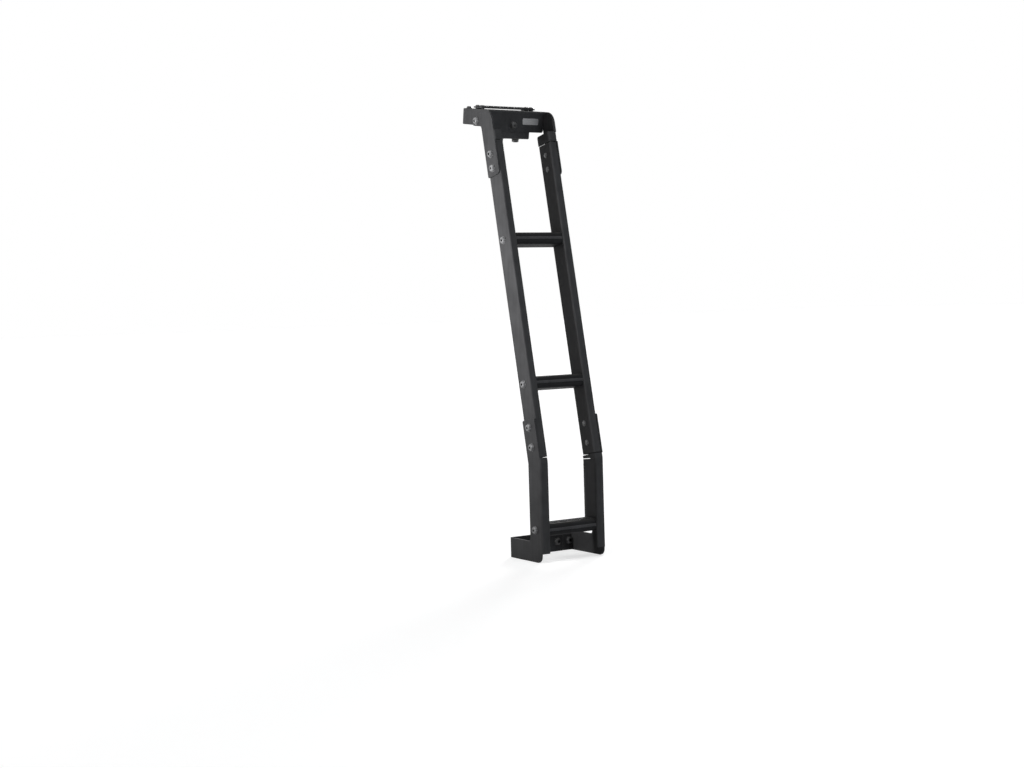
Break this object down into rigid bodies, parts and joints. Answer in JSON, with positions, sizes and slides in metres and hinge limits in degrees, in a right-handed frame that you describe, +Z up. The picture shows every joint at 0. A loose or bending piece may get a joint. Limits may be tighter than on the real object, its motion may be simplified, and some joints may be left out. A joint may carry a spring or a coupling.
{
  "type": "vehicle ladder",
  "caption": "Narrow black rear-corner vehicle ladder: leaning box rails, ribbed rungs, folded hook brackets over the roof gutter and folded feet that bolt to the body.",
  "frame": {"origin": "on the vehicle side of the foot flange, on the ladder's middle plane, level with the flange's bolt holes", "axes": "+Z up along the upright foot of the ladder, +Y towards the vehicle, +X to the right as the climber faces the vehicle"},
  "size_m": [0.16, 0.2617, 0.9586],
  "materials": {
    "rail_paint": "satin black powder coat on box tube",
    "rung_paint": "satin black powder coat on ribbed extrusion",
    "bracket_paint": "satin black powder coat on folded plate",
    "fasteners": "black zinc",
    "pad_rubber": "matt"
  },
  "bodies": {
    "root": {"left_rail": "rail_paint", "right_rail": "rail_paint", "bottom_rung": "rung_paint", "middle_rung": "rung_paint", "top_rung": "rung_paint", "left_foot_bracket": "bracket_paint", "right_foot_bracket": "bracket_paint", "left_hook_bracket": "bracket_paint", "right_hook_bracket": "bracket_paint", "cross_bracket": "bracket_paint", "gutter_jaw": "bracket_paint", "top_plate": "bracket_paint", "left_bottom_sleeve": "fasteners", "right_bottom_sleeve": "fasteners", "front_left_weld_nut": "fasteners", "front_right_weld_nut": "fasteners", "rear_left_weld_nut": "fasteners", "rear_right_weld_nut": "fasteners", "roof_pad": "pad_rubber"}
  },
  "joints": []
}
